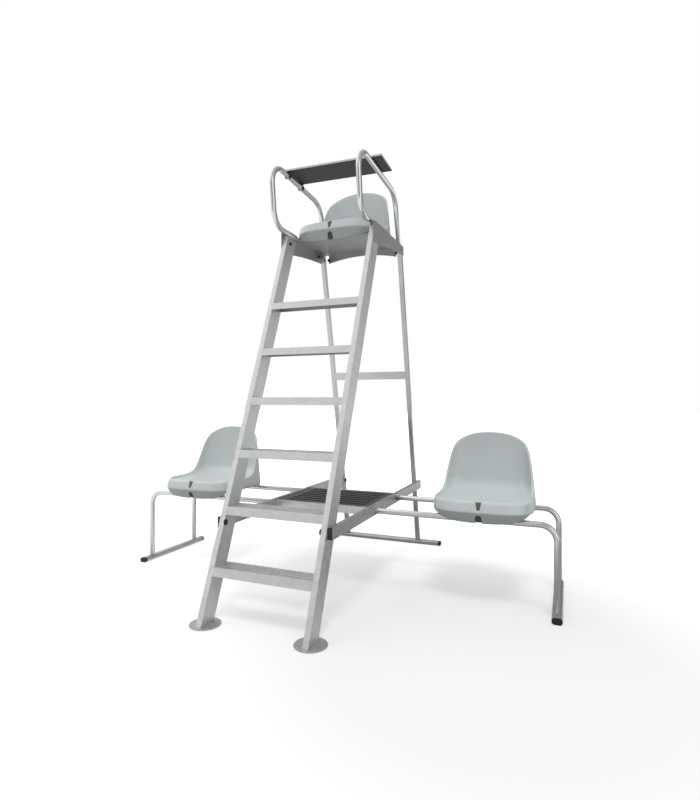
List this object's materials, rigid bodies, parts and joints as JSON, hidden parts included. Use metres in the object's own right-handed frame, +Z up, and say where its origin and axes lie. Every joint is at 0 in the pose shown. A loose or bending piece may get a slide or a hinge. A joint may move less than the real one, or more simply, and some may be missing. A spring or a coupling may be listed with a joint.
{
  "type": "tennis umpire chair",
  "caption": "Free-standing tennis umpire chair: raked aluminium step ladder, high bucket seat with handrails and a hinged desk, and a low bench seat on each side.",
  "frame": {"origin": "bottom centre of the bounding box, on the floor", "axes": "+Z up, +X across the ladder to the right as seen from the front, +Y from the ladder's foot to the rear legs"},
  "size_m": [2.264, 1.6407, 2.1708],
  "materials": {
    "ladder_aluminium": "satin",
    "platform_sheet": "satin",
    "bright_tube": "polished",
    "seat_plastic": "gloss",
    "black_plastic": "matte",
    "deck_dark": "matte",
    "desk_board": "matte",
    "foot_metal": "satin"
  },
  "bodies": {
    "frame": {"stile_left": "ladder_aluminium", "stile_right": "ladder_aluminium", "tread_1": "ladder_aluminium", "tread_2": "ladder_aluminium", "tread_3": "ladder_aluminium", "tread_4": "ladder_aluminium", "tread_5": "ladder_aluminium", "tread_6": "ladder_aluminium", "foot_disc_left": "foot_metal", "foot_disc_right": "foot_metal", "platform": "platform_sheet", "side_plate_left": "platform_sheet", "side_plate_right": "platform_sheet", "rear_leg_left": "bright_tube", "rear_leg_right": "bright_tube", "cross_rail": "bright_tube", "rear_floor_bar": "bright_tube", "rear_bar_caps": "black_plastic", "side_bar_left": "bright_tube", "side_bar_right": "bright_tube", "side_bar_caps": "black_plastic", "deck_front_bar": "bright_tube", "deck_rear_bar": "bright_tube", "deck_grating": "deck_dark", "bench_left_front_tube": "bright_tube", "bench_left_rear_tube": "bright_tube", "bench_right_front_tube": "bright_tube", "bench_right_rear_tube": "bright_tube", "bench_left_floor_bar": "bright_tube", "bench_right_floor_bar": "bright_tube", "bench_bar_caps": "black_plastic", "bench_left_seat_rails": "bright_tube", "bench_right_seat_rails": "bright_tube", "seat_top": "seat_plastic", "seat_left": "seat_plastic", "seat_right": "seat_plastic", "handrail_left": "bright_tube", "handrail_right": "bright_tube"},
    "desk": {"desk_board": "desk_board", "desk_clip_front": "black_plastic", "desk_clip_rear": "black_plastic"}
  },
  "joints": [
    {"name": "desk_hinge", "type": "hinge", "parent": "frame", "child": "desk", "pos_m": [-0.236, 0.0525, 2.1292], "axis": [0, -0.9982, 0.0592], "range_deg": [0, 255]}
  ]
}
